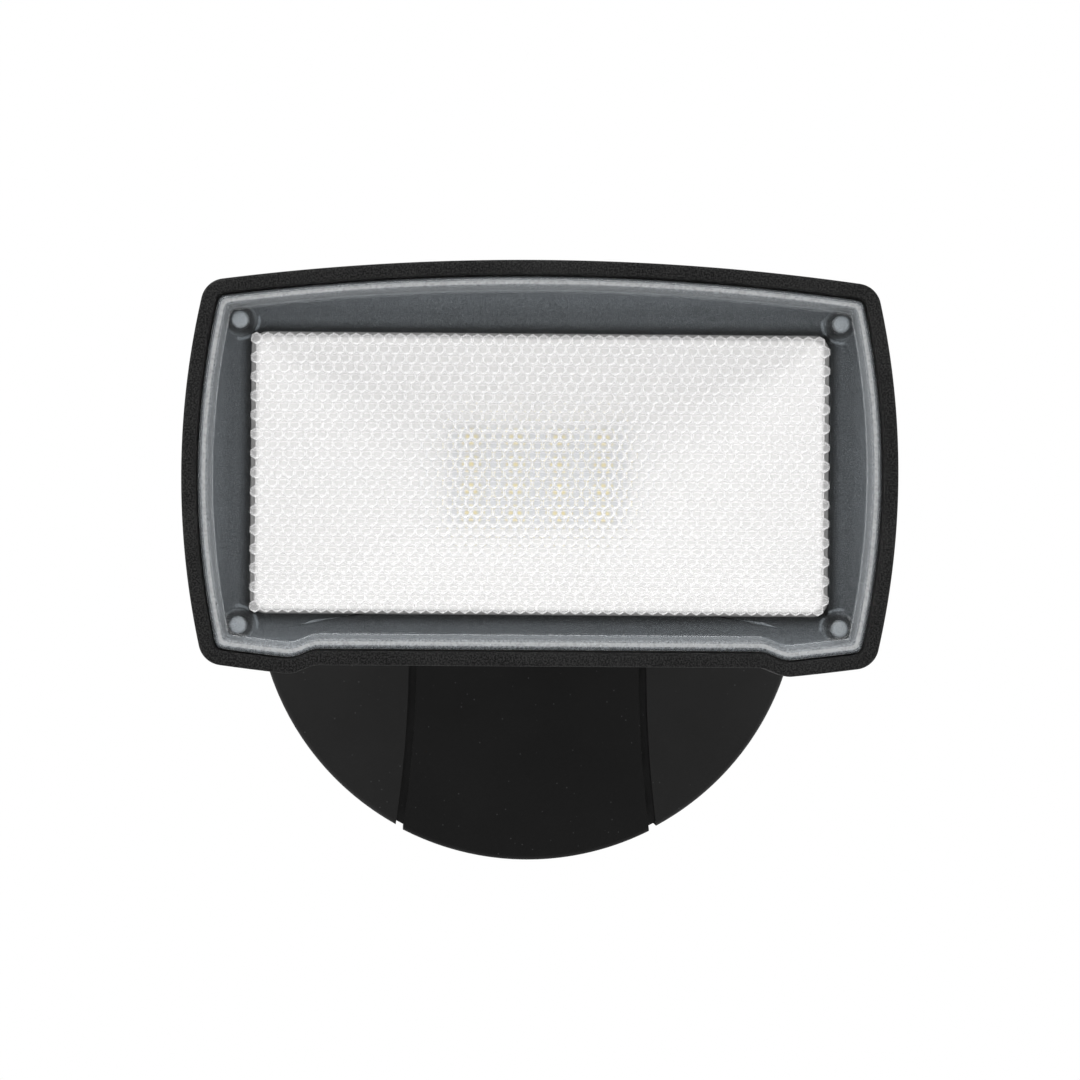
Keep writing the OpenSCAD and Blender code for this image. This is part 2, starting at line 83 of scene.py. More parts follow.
HEAD_HALF_W = width_of("head_housing") / 2
HEAD_HALF_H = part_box("head_housing")[1][2] - HEAD_Z
RIM_FRONT = out_range("head_housing")[1]
LENS_INSET = HEAD_HALF_W - width_of("lens") / 2
BEAD_TOP = out_range("lens")[1]
SKIRT_BACK = out_range("lens_gasket")[1]
LEDGE_OUT = out_range("lens_gasket")[0]
REFLECTOR_FRONT = out_range("reflector")[1]
BOARD_BACK, BOARD_FRONT = out_range("led_board")
FLOOR_FRONT = out_range("thermal_pad")[0]
FLANGE_BACK = out_range("lens_screws")[0] + SCREW_HEAD_H
BASE_R = width_of("base_gasket") / 2 + GASKET_INSET

# ---- Sizes of the outside that only its curves need ----

EDGE_ARC_R = 536 * MM
SIDE_ARC_R = 180 * MM
CORNER_R = 5.5 * MM
NOTCH_HALF_W = 49.2 * MM
NOTCH_END = 56.5 * MM
NOTCH_Z = -42.9 * MM
RIM_W = 3.2 * MM
LENS_FRONT = BEAD_TOP - 1.4 * MM
LENS_BACK = LENS_FRONT - 2.5 * MM
FLOOR_BACK = FLOOR_FRONT - 3.5 * MM
OPTIC_HALF_W = width_of("reflector") / 2
OPTIC_HALF_H = height_of("reflector") / 2
POST_X = width_of("lens_screws") / 2 - SCREW_HEAD_R
POST_Z = height_of("lens_screws") / 2 - SCREW_HEAD_R
LED_COUNT = 4
LED_PITCH_X = 10 * MM
LED_PITCH_Z = 5.75 * MM

# ---- Attributes on the lens's points that its material reads ----

# Painted highlight on the lens's bead, set on its points.
BEAD_HIGHLIGHT = "edge_glow"
RIDGE = "ridge"


# ---- Shaders: numbers are wrapped so that Python expressions build Math nodes ----

class Number:
    """A shader value. Arithmetic on it adds Math nodes to its graph."""

    def __init__(self, graph, socket):
        self.graph = graph
        self.socket = socket

    def math(self, operation, *values):
        node = self.graph.node("ShaderNodeMath", {"operation": operation},
                               dict(enumerate(values)))
        return Number(self.graph, node.outputs[0])

    def __add__(self, other):
        return self.math("ADD", self, other)

    __radd__ = __add__

    def __mul__(self, other):
        return self.math("MULTIPLY", self, other)

    __rmul__ = __mul__

    def __sub__(self, other):
        return self.math("SUBTRACT", self, other)

    def __rsub__(self, other):
        return self.math("SUBTRACT", other, self)

    def __truediv__(self, other):
        return self.math("DIVIDE", self, other)

    def __pow__(self, other):
        return self.math("POWER", self, other)

    def __abs__(self):
        return self.math("ABSOLUTE", self)

    def max(self, other):
        return self.math("MAXIMUM", self, other)

    def min(self, other):
        return self.math("MINIMUM", self, other)

    def fraction(self):
        return self.math("FRACT", self)

    def ramp(self, low, high):
        """0 below low, 1 above high and a smooth step between."""
        node = self.graph.node("ShaderNodeMapRange", {"interpolation_type": "SMOOTHSTEP"},
                               {"Value": self, "From Min": low, "From Max": high})
        return Number(self.graph, node.outputs[0])


class Graph:
    """A material's node tree with one method that adds any node."""

    def __init__(self, name):
        self.material = bpy.data.materials.new(name)
        self.material.use_nodes = True
        self.tree = self.material.node_tree
        self.tree.nodes.clear()
        self.output = self.node("ShaderNodeOutputMaterial")
        self.place = self.node("ShaderNodeTexCoord").outputs["Object"]

    def node(self, kind, settings=None, sockets=None):
        node = self.tree.nodes.new(kind)
        for name, value in (settings or {}).items():
            setattr(node, name, value)
        for name, value in (sockets or {}).items():
            target = node.inputs[name]
            value = getattr(value, "socket", value)
            if isinstance(value, bpy.types.NodeSocket):
                self.tree.links.new(value, target)
            else:
                target.default_value = value
        return node

    def noise(self, scale, detail=2.0, roughness=0.5, seed=0.0):
        node = self.node("ShaderNodeTexNoise", {"noise_dimensions": "4D"},
                         {"Vector": self.place, "W": seed, "Scale": scale, "Detail": detail,
                          "Roughness": roughness})
        return Number(self, node.outputs[0])

    def attribute(self, name):
        node = self.node("ShaderNodeAttribute", {"attribute_name": name})
        return Number(self, node.outputs["Fac"])

    def cells(self, scale):
        node = self.node("ShaderNodeTexVoronoi", {"feature": "F1"},
                         {"Vector": self.place, "Scale": scale})
        return Number(self, node.outputs["Distance"])

    def axes(self):
        node = self.node("ShaderNodeSeparateXYZ", None, {"Vector": self.place})
        return [Number(self, socket) for socket in node.outputs]

    def mix(self, factor, first, second):
        """A colour between two colours."""
        node = self.node("ShaderNodeMix", {"data_type": "RGBA"},
                         {"Factor": factor, 6: colour(first), 7: colour(second)})
        return node.outputs[2]

    def bump(self, height, distance, strength=1.0):
        node = self.node("ShaderNodeBump", None,
                         {"Height": height, "Distance": distance, "Strength": strength})
        return node.outputs[0]

    def finish(self, shader):
        self.tree.links.new(shader.outputs[0], self.output.inputs["Surface"])
        return self.material

    def principled(self, **sockets):
        names = {name.replace("_", " "): value for name, value in sockets.items()}
        return self.node("ShaderNodeBsdfPrincipled", None, names)


def from_posts(x, z):
    """The distance from the nearest of the four posts at the lens's corners."""
    off_x = abs(x) - POST_X
    off_z = abs(z - HEAD_Z) - POST_Z
    return (off_x * off_x + off_z * off_z) ** 0.5


def colour(value):
    """Three numbers as a colour with alpha, or a socket as it is."""
    if isinstance(value, (tuple, list)):
        return (*value, 1.0)
    return value


def powder_coat():
    """Black powder coat on the cast head and knuckle: fine pebbles with a few pale specks."""
    g = Graph("powder_coat_black")
    pebble = g.noise(2600, 3.0, 0.6)
    cloud = g.noise(90, 2.0, 0.5, seed=3.0)
    speck = (0.16 - g.cells(1500)).ramp(0.0, 0.1)
    grain = pebble.ramp(0.42, 0.60) * 0.85 + cloud.ramp(0.35, 0.7) * 0.15
    tone = g.mix(grain, (0.0010, 0.0010, 0.0012), (0.0260, 0.0260, 0.0257))
    tone = g.mix(speck * 0.35, tone, (0.075, 0.075, 0.073))
    return g.finish(g.principled(
        Base_Color=tone, Roughness=0.56 + 0.16 * pebble, IOR=1.38, Specular_IOR_Level=0.20,
        Normal=g.bump(pebble, 0.00012, 0.55)))


def base_plastic(name, depth, shine):
    """Satin black moulded plastic of the base with a very fine grain."""
    g = Graph(name)
    grain = g.noise(3800, 2.0, 0.55)
    cloud = g.noise(55, 2.0, 0.5, seed=7.0)
    speck = (0.10 - g.cells(420)).ramp(0.0, 0.06)
    tone = g.mix(cloud.ramp(0.3, 0.75), (depth * 0.85,) * 3, (depth * 1.15,) * 3)
    tone = g.mix(speck * 0.4, tone, (0.07, 0.07, 0.072))
    return g.finish(g.principled(
        Base_Color=tone, Roughness=0.44 + 0.1 * grain, Specular_IOR_Level=shine,
        Normal=g.bump(grain, 0.00005, 0.5)))


def clear_plastic():
    """Clear moulded plastic that lets lamps through, with a pale layer mixed in that carries painted light: a
    blue-grey painted reflection outside the reflector that is lighter towards the rim and dark as painted shade
    next to the reflector and round each post, painted light from below on the lower border, a painted highlight on
    the bead, a pale disc on each post and pale white on the pane's ridges."""
    g = Graph("lens_clear")
    x, _, z = g.axes()
    ripple = g.noise(60, 2.0, 0.5, seed=5.0)
    grain = g.noise(2200, 2.0, 0.6)
    speck = (0.2 - g.cells(1300)).ramp(0.0, 0.12)
    from_box = (abs(x) - OPTIC_HALF_W).max(abs(z - HEAD_Z) - OPTIC_HALF_H)
    # Painted reflection on the border outside the reflector: lighter towards the rim, and left dark next to the
    # reflector as painted shade.
    rise = from_box.ramp(0.2 * MM, 3.0 * MM) * 0.085 + from_box.ramp(4 * MM, 8.5 * MM) * 0.055
    # Painted light from below on the lower border.
    below = (HEAD_Z - z).ramp(33 * MM, 40 * MM) * 0.12
    # Painted highlight on the bead.
    bead_highlight = g.attribute(BEAD_HIGHLIGHT)
    from_post = from_posts(x, z)
    border = (rise + below + 0.015) * from_box.ramp(-0.3 * MM, 0.1 * MM)
    # Painted shade: the border is darker in a ring round each post.
    border = border * (0.25 + from_post.ramp(2.8 * MM, 3.8 * MM) * 0.75)
    disc = (1 - from_post.ramp(1.2 * MM, 2.2 * MM)) * 0.31
    arc = from_post.ramp(3.8 * MM, 4.2 * MM) * (1 - from_post.ramp(4.3 * MM, 4.9 * MM))
    arc = arc * (1 - from_box.ramp(2.6 * MM, 4.0 * MM)) * from_box.ramp(0.0, 0.5 * MM) * 0.16
    grit = grain.ramp(0.3, 0.7)
    pale_share = (border + disc + arc) * (0.55 + 0.9 * grit) + bead_highlight * (0.8 + 0.35 * grit)
    # Pale white on the pane's ridges, only over the reflector.
    ridge = g.attribute(RIDGE)
    ridge = ridge * (1 - from_box.ramp(-0.2 * MM, 0.1 * MM))
    pale_share = pale_share.max(ridge * 0.34)
    glass = g.principled(
        Base_Color=(1.0, 0.998, 0.995, 1.0), Roughness=0.03 + 0.03 * ripple, IOR=1.5,
        Transmission_Weight=1.0, Normal=g.bump(g.noise(900, 2.0, 0.5), 0.000004, 0.2))
    # The border's blue-grey is the colour of its painted reflection, and the bead's grey is the colour of its
    # painted highlight.
    tone = g.mix(bead_highlight.min(1.0), (0.30, 0.335, 0.365), (0.42, 0.42, 0.42))
    tone = g.mix(speck, tone, (0.55, 0.58, 0.60))
    tone = g.mix(ridge.ramp(0.0, 0.1), tone, (0.76, 0.76, 0.765))
    # The pale layer that carries the painted reflection, the painted highlights and the pale white on the ridges.
    pale_paint = g.principled(Base_Color=tone, Roughness=0.35, IOR=1.5)
    body = g.node("ShaderNodeMixShader", None,
                  {"Fac": pale_share, 1: glass.outputs[0], 2: pale_paint.outputs[0]})
    open_air = g.node("ShaderNodeBsdfTransparent", None, {"Color": (0.962, 0.961, 0.960, 1.0)})
    path = g.node("ShaderNodeLightPath")
    shadow = Number(g, path.outputs["Is Shadow Ray"])
    soft = Number(g, path.outputs["Is Diffuse Ray"])
    return g.finish(g.node("ShaderNodeMixShader", None,
                           {"Fac": shadow.max(soft), 1: body.outputs[0],
                            2: open_air.outputs[0]}))


def white_reflector():
    """Glossy white plastic with a faint unevenness, and painted shade in dark grey on the front edge of its wall.
    """
    g = Graph("reflector_white_gloss")
    cloud = g.noise(40, 2.0, 0.5, seed=2.0)
    _, y, _ = g.axes()
    # Painted shade: the front edge of the wall, close behind the lens, is dark grey.
    shaded_lip = (0 - y).ramp(REFLECTOR_FRONT - 0.7 * MM, REFLECTOR_FRONT - 0.1 * MM)
    tone = g.mix(cloud, (0.895, 0.894, 0.892), (0.922, 0.921, 0.920))
    tone = g.mix(shaded_lip, tone, (0.20, 0.20, 0.20))
    return g.finish(g.principled(
        Base_Color=tone, Roughness=0.32 + 0.08 * cloud, IOR=1.45,
        Normal=g.bump(g.noise(300, 2.0, 0.5), 0.00003, 0.25)))


def solder_mask():
    """White circuit board, given a pale blue-grey tone as painted shade, with copper tracks that show faintly
    between the rows of LEDs.
    """
    g = Graph("board_white_mask")
    x, _, z = g.axes()
    band = abs((z - HEAD_Z) / LED_PITCH_Z + 0.5).fraction()
    track = (0.5 - abs(band - 0.5)).ramp(0.38, 0.46) * abs(x).ramp(24 * MM, 22 * MM)
    # The mask is white: its pale blue-grey is painted shade.
    tone = g.mix(track, (0.73, 0.765, 0.83), (0.65, 0.69, 0.76))
    return g.finish(g.principled(
        Base_Color=tone, Roughness=0.30 + 0.1 * g.noise(500), Normal=g.bump(track, 0.00005, 0.6)))


def phosphor():
    """Yellow phosphor of the LEDs, grainy and slightly domed."""
    g = Graph("led_phosphor_yellow")
    grain = g.noise(9000, 2.0, 0.6)
    tone = g.mix(grain, (0.96, 0.72, 0.06), (0.98, 0.80, 0.12))
    return g.finish(g.principled(
        Base_Color=tone, Roughness=0.35 + 0.2 * grain, Normal=g.bump(grain, 0.00002, 0.4)))


def package_white():
    """Matt white body of the LEDs."""
    g = Graph("led_package_white")
    grain = g.noise(4000)
    return g.finish(g.principled(
        Base_Color=g.mix(grain, (0.78, 0.78, 0.75), (0.84, 0.84, 0.82)),
        Roughness=0.35 + 0.1 * grain))


def metal(name, tone, rough, streak=(1.0, 1.0, 1.0)):
    """Plated metal with fine scratches and dull spots."""
    g = Graph(name)
    stretched = g.node("ShaderNodeMapping", None, {"Vector": g.place, "Scale": streak})
    scratch = g.node("ShaderNodeTexNoise", None,
                     {"Vector": stretched.outputs[0], "Scale": 1800.0, "Detail": 3.0})
    scratch = Number(g, scratch.outputs[0])
    dull = g.noise(240, 3.0, 0.6, seed=4.0)
    return g.finish(g.principled(
        Base_Color=g.mix(dull, tone, [0.78 * c for c in tone]), Metallic=1.0,
        Roughness=rough + 0.18 * dull, Normal=g.bump(scratch, 0.00003, 0.35)))


def screw_end():
    """Dull plated screw whose front end is pale in the middle and darkens to near black towards its edge as
    painted shade.
    """
    g = Graph("screw_end_zinc")
    x, _, z = g.axes()
    dull = g.noise(240, 3.0, 0.6, seed=4.0)
    tone = g.mix(dull, (0.36, 0.36, 0.35), (0.30, 0.30, 0.29))
    # Painted shade: outside its pale middle the end goes near black, as the dark ring round each post.
    tone = g.mix(from_posts(x, z).ramp(1.0 * MM, 2.0 * MM), tone, (0.05, 0.052, 0.055))
    return g.finish(g.principled(
        Base_Color=tone, Metallic=0.4, Roughness=0.5 + 0.2 * dull,
        Normal=g.bump(dull, 0.00004, 0.4)))


def rubber(name, tone):
    """Dull soft rubber with a rough grain."""
    g = Graph(name)
    grain = g.noise(1500, 3.0, 0.6)
    return g.finish(g.principled(
        Base_Color=g.mix(grain, tone, [1.5 * c for c in tone]),
        Roughness=0.72 + 0.15 * grain, IOR=1.4, Normal=g.bump(grain, 0.00008, 0.4)))


def moulded(name, tone, rough=0.45):
    """Plain moulded or painted surface with faint clouds and a fine grain."""
    g = Graph(name)
    grain = g.noise(1800, 2.0, 0.5)
    cloud = g.noise(70, 2.0, 0.5, seed=1.0)
    return g.finish(g.principled(
        Base_Color=g.mix(cloud, [0.9 * c for c in tone], tone),
        Roughness=rough + 0.12 * grain, Normal=g.bump(grain, 0.00006, 0.4)))


COAT = powder_coat()
SHELL_PLASTIC = base_plastic("base_plastic_black", 0.0070, 0.18)
# The middle panel is the same black plastic made darker and duller: painted shade for the head's shadow on it.
SPINE_PLASTIC_SHADED = base_plastic("spine_plastic_black", 0.0042, 0.12)
LENS_CLEAR = clear_plastic()
REFLECTOR_WHITE = white_reflector()
BOARD_MASK = solder_mask()
PHOSPHOR = phosphor()
PACKAGE = package_white()
ZINC = metal("zinc_plate", (0.62, 0.62, 0.60), 0.30)
PALE_ZINC = screw_end()
STRAP_STEEL = metal("strap_steel_brushed", (0.60, 0.60, 0.60), 0.32, (1.0, 12.0, 12.0))
BRASS = metal("washer_brass", (0.72, 0.54, 0.27), 0.34)
GREEN_PAINT = moulded("ground_screw_green", (0.04, 0.24, 0.09), 0.35)
SEAL = rubber("seal_rubber", (0.014, 0.014, 0.014))
THERMAL = rubber("thermal_pad_grey", (0.30, 0.33, 0.35))
DRIVER = moulded("driver_plastic", (0.03, 0.03, 0.034))
CIRCUIT = moulded("circuit_board_green", (0.03, 0.16, 0.06), 0.3)
CREAM = moulded("terminal_cream", (0.62, 0.59, 0.50))


# ---- Meshes ----

def new_object(name, mesh):
    """A new object in the scene that shows the mesh."""
    piece = bpy.data.objects.new(name, mesh)
    bpy.context.scene.collection.objects.link(piece)
    return piece


def finish_piece(piece, body, slot, nodes, *materials):
    """Gives a piece its materials, its body and the CAD nodes that it stands for. The slot is not used."""
    piece.data.materials.clear()
    for material in materials:
        piece.data.materials.append(material)
    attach(piece, body)
    if nodes:
        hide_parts(*nodes)
    return piece


def from_bmesh(name, bm, smooth_angle=35):
    """A bmesh as a new object, with its faces outward and its gentle edges smooth."""
    bmesh.ops.recalc_face_normals(bm, faces=bm.faces)
    limit = math.radians(smooth_angle)
    for face in bm.faces:
        face.smooth = True
    for edge in bm.edges:
        edge.smooth = edge.is_manifold and edge.calc_face_angle(0.0) < limit
    mesh = bpy.data.meshes.new(name)
    bm.to_mesh(mesh)
    bm.free()
    return new_object(name, mesh)


def baked(piece):
    """The piece with its modifiers worked into a plain mesh."""
    depsgraph = bpy.context.evaluated_depsgraph_get()
    mesh = bpy.data.meshes.new_from_object(piece.evaluated_get(depsgraph))
    piece.modifiers.clear()
    old = piece.data
    piece.data = mesh
    bpy.data.meshes.remove(old)
    return piece


def loft(bm, rings, closed=False, cap_first=False, cap_last=False):
    """Joins rings of points, all with the same count, by bands of quads."""
    loops = [[bm.verts.new(point) for point in ring] for ring in rings]
    pairs = list(zip(loops, loops[1:]))
    if closed:
        pairs.append((loops[-1], loops[0]))
    for near, far in pairs:
        for i in range(len(near)):
            j = (i + 1) % len(near)
            bm.faces.new((near[i], near[j], far[j], far[i]))
    if cap_first:
        bm.faces.new(loops[0])
    if cap_last:
        bm.faces.new(loops[-1])
    return loops


def rounded_corners(corners, steps=5):
    """A polyline of (a, b, radius) corners with each corner turned into an arc."""
    points = []
    last = len(corners) - 1
    for i, (a, b, radius) in enumerate(corners):
        here = Vector((a, b))
        if radius == 0 or i in (0, last):
            points.append((a, b))
            continue
        before = (Vector(corners[i - 1][:2]) - here).normalized()
        after = (Vector(corners[i + 1][:2]) - here).normalized()
        half = before.angle(after) / 2
        reach = radius / math.tan(half)
        centre = here + (before + after).normalized() * (radius / math.sin(half))
        start = here + before * reach - centre
        turn = start.angle_signed(here + after * reach - centre)
        for k in range(steps + 1):
            spin = Matrix.Rotation(-turn * k / steps, 2)
            points.append(tuple(centre + spin @ start))
    return points


SIDE_STEPS = 40
CORNER_STEPS = 12
TOP_STEPS = 80
BOTTOM_STEPS = 200
SMALLEST_CORNER = 1.4 * MM


def smooth_step(value):
    value = min(max(value, 0.0), 1.0)
    return value * value * (3 - 2 * value)


def corner_circle(inset):
    """Centre and radius of the upper right corner's circle, tangent to both long arcs."""
    radius = max(CORNER_R - inset, SMALLEST_CORNER)
    top = Vector((0, HEAD_HALF_H - EDGE_ARC_R))
    side = Vector((HEAD_HALF_W - SIDE_ARC_R, 0))
    from_top = EDGE_ARC_R - inset - radius
    from_side = SIDE_ARC_R - inset - radius
    between = side - top
    span = between.length
    along = (from_top**2 - from_side**2 + span**2) / (2 * span)
    across = math.sqrt(from_top**2 - along**2)
    unit = between / span
    return top + unit * along + Vector((unit.y, -unit.x)) * across, radius


def head_outline(inset):
    """Points round the head's outline, moved in by inset, with the head's centre at zero."""
    centre, radius = corner_circle(inset)
    if centre.x < 0:
        centre = Vector((-centre.x, centre.y))
    top = Vector((0, HEAD_HALF_H - EDGE_ARC_R))
    side = Vector((HEAD_HALF_W - SIDE_ARC_R, 0))
    top_angle = math.atan2(centre.y - top.y, centre.x)
    side_angle = math.atan2(centre.y, centre.x - side.x)

    def arc(middle, reach, start, end, steps):
        turn = (end - start) / steps
        return [(middle.x + reach * math.cos(start + turn * k),
                 middle.y + reach * math.sin(start + turn * k)) for k in range(steps)]

    right = arc(side, SIDE_ARC_R - inset, -side_angle, side_angle, SIDE_STEPS)
    upper_right = arc(centre, radius, side_angle, top_angle, CORNER_STEPS)
    upper = arc(top, EDGE_ARC_R - inset, top_angle, math.pi - top_angle, TOP_STEPS)
    upper_left = [(-x, z) for x, z in arc(centre, radius, top_angle, side_angle, CORNER_STEPS)]
    left = [(-x, -z) for x, z in right]
    lower_left = [(-x, -z) for x, z in upper_right]
    end_x = (EDGE_ARC_R - inset) * math.cos(top_angle)
    lower = []
    for k in range(BOTTOM_STEPS):
        x = end_x * (2 * k / BOTTOM_STEPS - 1)
        arc_z = -top.y - math.sqrt((EDGE_ARC_R - inset)**2 - x * x)
        lift = smooth_step((NOTCH_END - abs(x)) / (NOTCH_END - NOTCH_HALF_W))
        lower.append((x, arc_z + lift * (NOTCH_Z + inset - arc_z)))
    lower_right = [(x, -z) for x, z in arc(centre, radius, top_angle, side_angle, CORNER_STEPS)]
    return right + upper_right + upper + upper_left + left + lower_left + lower + lower_right


def head_ring(inset, out):
    """The head's outline as a ring of points at a distance from the wall."""
    return [Vector((x, -out, HEAD_Z + z)) for x, z in head_outline(inset)]


def box_reach(x, z, half_w, half_h, radius):
    """Where the ray from the centre towards (x, z) leaves a rectangle with round corners."""
    reach = min(half_w / max(abs(x), 1e-9), half_h / max(abs(z), 1e-9))
    low, high = 0.0, reach
    for _ in range(30):
        middle = (low + high) / 2
        dx = max(abs(x) * middle - (half_w - radius), 0)
        dz = max(abs(z) * middle - (half_h - radius), 0)
        inside = math.hypot(dx, dz) <= radius or dx == 0 or dz == 0
        if inside and abs(x) * middle <= half_w and abs(z) * middle <= half_h:
            low = middle
        else:
            high = middle
    return low


def box_ring_like_head(half_w, half_h, radius, out):
    """A rectangle with round corners, with one point for each point of the head's outline."""
    points = []
    for x, z in head_outline(0):
        reach = box_reach(x, z, half_w, half_h, radius)
        points.append(Vector((x * reach, -out, HEAD_Z + z * reach)))
    return points


def box_ring(half_w, half_h, radius, out, steps=8):
    """A rectangle with round corners as a ring of points round the head's centre."""
    points = []
    for sx, sz, start in ((1, 1, 0), (-1, 1, 90), (-1, -1, 180), (1, -1, 270)):
        for k in range(steps + 1):
            angle = math.radians(start + 90 * k / steps)
            points.append(Vector((sx * (half_w - radius) + radius * math.cos(angle), -out,
                                  HEAD_Z + sz * (half_h - radius) + radius * math.sin(angle))))
    return points


def circle(radius, out, steps):
    """A ring of points round the Y axis at a distance from the wall."""
    turns = [2 * math.pi * k / steps for k in range(steps)]
    return [Vector((radius * math.cos(a), -out, radius * math.sin(a))) for a in turns]


# ---- Copies, made by Geometry Nodes ----

def copies_tree():
    """A node tree that sets copies of a part on a grid in the XZ plane, every other row shifted."""
    tree = bpy.data.node_groups.new("grid_of_copies", "GeometryNodeTree")
    face = tree.interface
    face.new_socket("Geometry", in_out="OUTPUT", socket_type="NodeSocketGeometry")
    for name, kind in (("Part", "Object"), ("Columns", "Int"), ("Rows", "Int"),
                       ("Pitch X", "Float"), ("Pitch Z", "Float"), ("Row Shift", "Float"),
                       ("Centre", "Vector"), ("Finish", "Material")):
        face.new_socket(name, in_out="INPUT", socket_type=f"NodeSocket{kind}")

    def node(kind, settings=None, sockets=None):
        made = tree.nodes.new(kind)
        for name, value in (settings or {}).items():
            setattr(made, name, value)
        for name, value in (sockets or {}).items():
            if isinstance(value, bpy.types.NodeSocket):
                tree.links.new(value, made.inputs[name])
            else:
                made.inputs[name].default_value = value
        return made

    def math_node(operation, first, second=0.0):
        return node("ShaderNodeMath", {"operation": operation}, {0: first, 1: second}).outputs[0]

    given = node("NodeGroupInput").outputs
    last_column = math_node("SUBTRACT", given["Columns"], 1)
    last_row = math_node("SUBTRACT", given["Rows"], 1)
    grid = node("GeometryNodeMeshGrid", None, {
        "Vertices X": given["Columns"], "Vertices Y": given["Rows"],
        "Size X": math_node("MULTIPLY", last_column, given["Pitch X"]),
        "Size Y": math_node("MULTIPLY", last_row, given["Pitch Z"])})
    place = node("GeometryNodeInputPosition").outputs[0]
    along = node("ShaderNodeSeparateXYZ", None, {0: place}).outputs
    steps = math_node("DIVIDE", along["Y"], given["Pitch Z"])
    row = math_node("ROUND", math_node("ADD", steps, math_node("DIVIDE", last_row, 2.0)))
    odd = math_node("SUBTRACT", math_node("MODULO", row, 2.0), 0.5)
    shift = math_node("MULTIPLY", odd, given["Row Shift"])
    offset = node("ShaderNodeCombineXYZ", None, {"X": shift}).outputs[0]
    moved = node("GeometryNodeSetPosition", None,
                 {"Geometry": grid.outputs[0], "Offset": offset}).outputs[0]
    upright = node("GeometryNodeTransform", None,
                   {"Geometry": moved, "Translation": given["Centre"],
                    "Rotation": (math.pi / 2, 0.0, 0.0)}).outputs[0]
    part = node("GeometryNodeObjectInfo", None, {"Object": given["Part"]}).outputs["Geometry"]
    copies = node("GeometryNodeInstanceOnPoints", None,
                  {"Points": upright, "Instance": part}).outputs[0]
    real = node("GeometryNodeRealizeInstances", None, {"Geometry": copies}).outputs[0]
    dressed = node("GeometryNodeSetMaterial", None,
                   {"Geometry": real, "Material": given["Finish"]}).outputs[0]
    node("NodeGroupOutput", None, {0: dressed})
    return tree


COPIES = copies_tree()


def grid_of(name, part, columns, rows, pitch_x, pitch_z, centre, finish, row_shift=0.0):
    """Copies of part on a grid as one plain mesh. The part itself is used up."""
    piece = new_object(name, bpy.data.meshes.new(name))
    modifier = piece.modifiers.new("copies", "NODES")
    modifier.node_group = COPIES
    values = {"Part": part, "Columns": columns, "Rows": rows, "Pitch X": pitch_x,
              "Pitch Z": pitch_z, "Row Shift": row_shift, "Centre": centre, "Finish": finish}
    for socket in COPIES.interface.items_tree:
        if socket.name in values:
            modifier[socket.identifier] = values[socket.name]
    baked(piece)
    bpy.data.objects.remove(part)
    return piece


# ---- The head ----

def head_shell():
    """Rim, flange and tapered tray of the cast head as one closed skin, from the tray's floor
    round the outside, over the rim and back down the inside."""
    mouth_w, mouth_h = 59.4 * MM, 29.55 * MM
    floor_w, floor_h = 52 * MM, 26.15 * MM
    wall = 3 * MM
    side = rounded_corners([
        (6 * MM, FLANGE_BACK, 0), (0, FLANGE_BACK, 1.2 * MM), (0, RIM_FRONT, 0.8 * MM),
        (RIM_W, RIM_FRONT, 0.35 * MM), (RIM_W, LEDGE_OUT, 0)])
    rings = [
        box_ring_like_head(floor_w - 3 * MM, floor_h - 3 * MM, 4 * MM, FLOOR_BACK),
        box_ring_like_head(floor_w - 0.8 * MM, floor_h - 0.8 * MM, 5.4 * MM,
                           FLOOR_BACK + 0.15 * MM),
        box_ring_like_head(floor_w, floor_h, 6 * MM, FLOOR_BACK + 1.2 * MM),
        box_ring_like_head(mouth_w + wall, mouth_h + wall, 8 * MM, FLANGE_BACK - 1.5 * MM),
        box_ring_like_head(mouth_w + wall + 0.5 * MM, mouth_h + wall + 0.5 * MM, 8.4 * MM,
                           FLANGE_BACK - 0.5 * MM),
        box_ring_like_head(mouth_w + wall + 1.6 * MM, mouth_h + wall + 1.6 * MM, 9.2 * MM,
                           FLANGE_BACK),
    ]
    rings += [head_ring(inset, out) for inset, out in side]
    rings += [
        box_ring_like_head(mouth_w + 0.4 * MM, mouth_h + 0.4 * MM, 6 * MM, LEDGE_OUT),
        box_ring_like_head(mouth_w, mouth_h, 6 * MM, LEDGE_OUT - 0.4 * MM),
        box_ring_like_head(mouth_w - 0.4 * MM, mouth_h - 0.4 * MM, 6 * MM, FLANGE_BACK),
        box_ring_like_head(floor_w - wall, floor_h - wall, 4 * MM, FLOOR_FRONT),
    ]
    bm = bmesh.new()
    loft(bm, rings, cap_first=True, cap_last=True)
    return finish_piece(from_bmesh("head_shell", bm), "head", "head_coat",
                        ["head_housing"], COAT)


def plate(name, outline, low, high, bevel):
    """A flat plate: an outline extruded along X between two places, with rounded edges."""
    bm = bmesh.new()
    ends = []
    for x in (low, high):
        ends.append([bm.verts.new((x, y, z)) for y, z in outline])
    for i in range(len(outline)):
        j = (i + 1) % len(outline)
        bm.faces.new((ends[0][i], ends[0][j], ends[1][j], ends[1][i]))
    bm.faces.new(ends[0])
    bm.faces.new(ends[1])
    bmesh.ops.recalc_face_normals(bm, faces=bm.faces)
    sharp = [e for e in bm.edges if e.calc_face_angle(0.0) > math.radians(30)]
    bmesh.ops.bevel(bm, geom=sharp, offset=bevel, segments=3, profile=0.5, affect="EDGES")
    return from_bmesh(name, bm)


